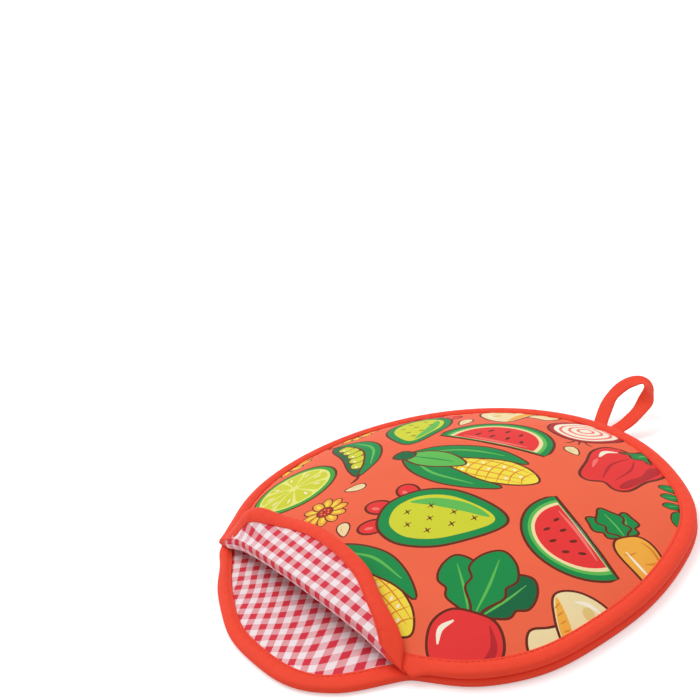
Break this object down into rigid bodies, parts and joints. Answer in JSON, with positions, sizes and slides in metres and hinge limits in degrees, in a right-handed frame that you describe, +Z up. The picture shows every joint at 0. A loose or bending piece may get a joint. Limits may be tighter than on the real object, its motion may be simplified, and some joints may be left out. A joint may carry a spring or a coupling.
{
  "type": "tortilla warmer",
  "caption": "Round quilted fabric pouch with bound edges, a mouth whose upper lip folds back, and a hanging loop, for keeping flatbreads warm.",
  "frame": {"origin": "centre of the disc on its underside", "axes": "+Z up, mouth towards -Y, hanging loop towards +Y"},
  "size_m": [0.3048, 0.3526, 0.037],
  "materials": {
    "printed_cover": "smooth woven polyester with a printed pattern on coral orange",
    "batting": "white needled fibre fill",
    "checked_lining": "plain woven cotton in a red and white gingham check",
    "binding_tape": "folded bias tape in orange red with a soft sheen"
  },
  "bodies": {
    "pouch": {"base_cover": "printed_cover", "base_batting": "batting", "base_lining": "checked_lining", "base_binding": "binding_tape", "top_cover": "printed_cover", "top_batting": "batting", "top_lining": "checked_lining", "top_binding": "binding_tape", "loop_tails": "binding_tape"},
    "mouth_flap": {"flap_cover": "printed_cover", "flap_batting": "batting", "flap_lining": "checked_lining", "flap_binding": "binding_tape"},
    "hanging_loop": {"hanging_loop": "binding_tape"}
  },
  "joints": [
    {"name": "flap_fold", "type": "hinge", "parent": "pouch", "child": "mouth_flap", "pos_m": [0, -0.11, 0.02356], "axis": [1, 0, 0], "range_deg": [0, 175]},
    {"name": "loop_swing", "type": "hinge", "parent": "pouch", "child": "hanging_loop", "pos_m": [0, 0.1533, 0.0056], "axis": [1, 0, 0], "range_deg": [-15, 75]}
  ]
}
